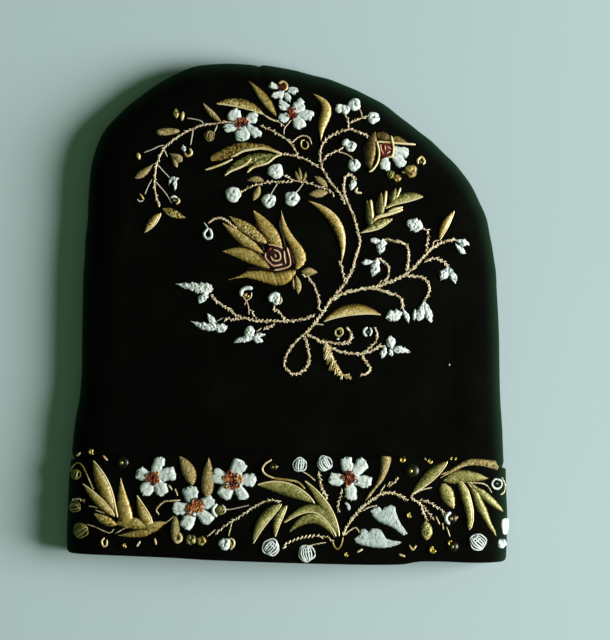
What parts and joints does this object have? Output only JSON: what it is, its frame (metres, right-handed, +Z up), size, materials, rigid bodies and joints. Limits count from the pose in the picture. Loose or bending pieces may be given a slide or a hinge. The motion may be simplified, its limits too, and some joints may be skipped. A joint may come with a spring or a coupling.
{
  "type": "kalfak cap",
  "caption": "Flat, bag-shaped velvet cap lying on its back, hollow and open at its banded mouth, with padded flowers, leaves and bell flowers on its front.",
  "frame": {"origin": "middle of the cap's outline, on the surface its back panel lies on", "axes": "+Z up out of the embroidered front, +Y from the mouth towards the top of the crown, +X to the right as the front is seen"},
  "size_m": [0.2408, 0.272, 0.0276],
  "materials": {
    "velvet": "black-green cotton velvet with a short pile",
    "gold_thread": "satin stitch in gilt thread over padding",
    "white_silk": "satin stitch in white silk over padding",
    "red_silk": "knot stitches in dark red silk"
  },
  "bodies": {
    "root": {"crown_front": "velvet", "crown_back": "velvet", "band": "velvet", "band_ball_first": "white_silk", "band_ball_second": "white_silk", "band_ball_third": "white_silk", "band_blossom_first": "white_silk", "band_blossom_fourth": "white_silk", "band_blossom_second": "white_silk", "band_blossom_third": "white_silk", "band_leaf_arched": "gold_thread", "band_leaf_inner_right": "gold_thread", "band_leaf_middle_left": "gold_thread", "band_leaf_outer_left": "gold_thread", "band_leaf_outer_right": "gold_thread", "band_leaf_tan": "gold_thread", "band_leaf_upper_right": "gold_thread", "band_petal_lower": "white_silk", "band_petal_upper": "white_silk", "bell_far_left": "white_silk", "bell_low_left": "white_silk", "bell_near_loop": "white_silk", "bell_right_fifth": "white_silk", "bell_right_first": "white_silk", "bell_right_fourth": "white_silk", "bell_right_second": "white_silk", "bell_right_seventh": "white_silk", "bell_right_sixth": "white_silk", "bell_right_third": "white_silk", "berry_row_first": "white_silk", "berry_row_fourth": "white_silk", "berry_row_second": "white_silk", "berry_row_third": "white_silk", "crown_blossom_left": "white_silk", "crown_blossom_square": "red_silk", "crown_blossom_top": "white_silk", "crown_leaf_crescent": "gold_thread", "crown_leaf_end_left": "gold_thread", "crown_leaf_end_right": "gold_thread", "crown_leaf_far_left": "gold_thread", "crown_leaf_feather": "gold_thread", "crown_leaf_fern_lower": "gold_thread", "crown_leaf_fern_upper": "gold_thread", "crown_leaf_great_lower": "gold_thread", "crown_leaf_great_upper": "gold_thread", "crown_leaf_high_left": "gold_thread", "crown_leaf_high_right": "gold_thread", "crown_leaf_low_right": "gold_thread", "crown_leaf_right_tip": "gold_thread", "crown_leaf_summit": "gold_thread", "tulip_cup": "gold_thread", "tulip_heart": "red_silk", "tulip_petal_fifth": "gold_thread", "tulip_petal_first": "gold_thread", "tulip_petal_fourth": "gold_thread", "tulip_petal_second": "gold_thread", "tulip_petal_third": "gold_thread"}
  },
  "joints": []
}
